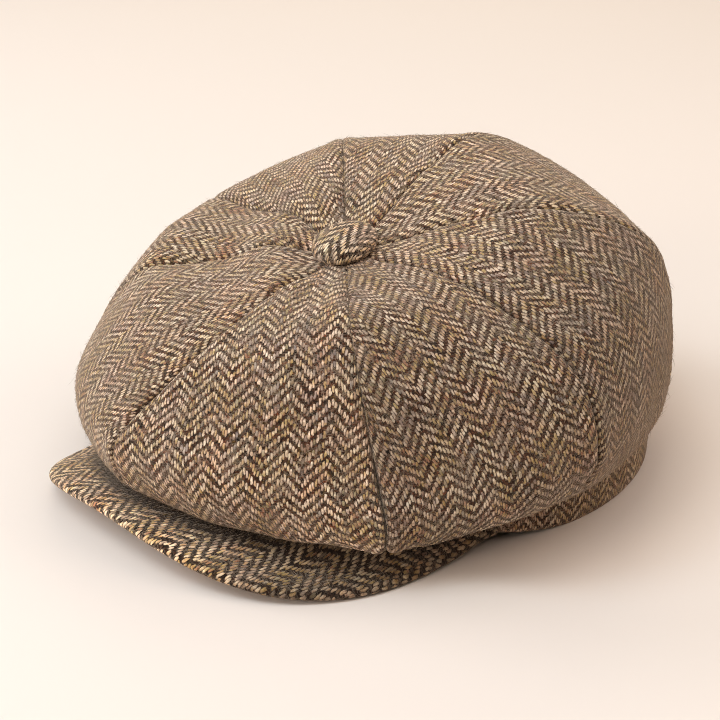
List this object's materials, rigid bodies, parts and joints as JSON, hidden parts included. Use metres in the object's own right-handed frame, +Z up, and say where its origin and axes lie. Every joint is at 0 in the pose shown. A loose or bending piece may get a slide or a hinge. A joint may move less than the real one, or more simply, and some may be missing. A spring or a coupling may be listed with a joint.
{
  "type": "newsboy flat cap",
  "caption": "Soft tweed newsboy flat cap: a full panelled crown under a covered top button, gathered onto an outer band with a stiff arched peak.",
  "frame": {"origin": "on the table under the centre of the cap's bounding box", "axes": "+Z up, the peak points along -Y, +X is the wearer's left when the peak is the front"},
  "size_m": [0.2402, 0.258, 0.1221],
  "materials": {
    "crown_panel_1": "herringbone wool tweed, matt and slightly hairy",
    "crown_panel_2": "herringbone wool tweed, matt and slightly hairy",
    "crown_panel_3": "herringbone wool tweed, matt and slightly hairy",
    "crown_panel_4": "herringbone wool tweed, matt and slightly hairy",
    "crown_panel_5": "herringbone wool tweed, matt and slightly hairy",
    "crown_panel_6": "herringbone wool tweed, matt and slightly hairy",
    "crown_panel_7": "herringbone wool tweed, matt and slightly hairy",
    "crown_panel_8": "herringbone wool tweed, matt and slightly hairy",
    "band": "herringbone wool tweed, matt and slightly hairy",
    "peak": "herringbone wool tweed, matt and slightly hairy",
    "button": "herringbone wool tweed, matt and slightly hairy"
  },
  "bodies": {
    "root": {"crown_panel_1": "crown_panel_1", "crown_panel_2": "crown_panel_2", "crown_panel_3": "crown_panel_3", "crown_panel_4": "crown_panel_4", "crown_panel_5": "crown_panel_5", "crown_panel_6": "crown_panel_6", "crown_panel_7": "crown_panel_7", "crown_panel_8": "crown_panel_8", "band": "band", "peak": "peak", "button": "button"}
  },
  "joints": []
}
